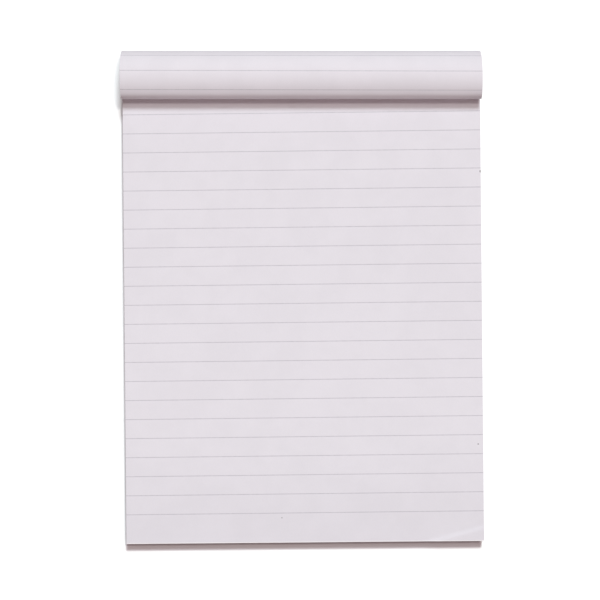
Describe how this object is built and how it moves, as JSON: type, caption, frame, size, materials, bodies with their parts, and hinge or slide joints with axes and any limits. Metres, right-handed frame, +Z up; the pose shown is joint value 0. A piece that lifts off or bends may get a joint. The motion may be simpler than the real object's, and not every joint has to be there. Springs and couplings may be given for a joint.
{
  "type": "legal pad",
  "caption": "Head-bound ruled writing pad lying flat, its used leaves turned over the head in a round roll and tucked under the chipboard back.",
  "frame": {"origin": "on the table, under the middle of the pad, on the flat underside of the turned leaves", "axes": "+X across the pad, +Y from the foot to the bound head, +Z up out of the page"},
  "size_m": [0.15, 0.2069, 0.0169],
  "materials": {
    "page_paper": "matte",
    "turned_paper": "matte",
    "chipboard": "matte",
    "binding_tape": "matte",
    "staple_wire": "satin"
  },
  "bodies": {
    "root": {"page_block": "page_paper", "turned_leaves": "turned_paper", "backing_board": "chipboard", "binding_tape": "binding_tape", "staples": "staple_wire"}
  },
  "joints": []
}
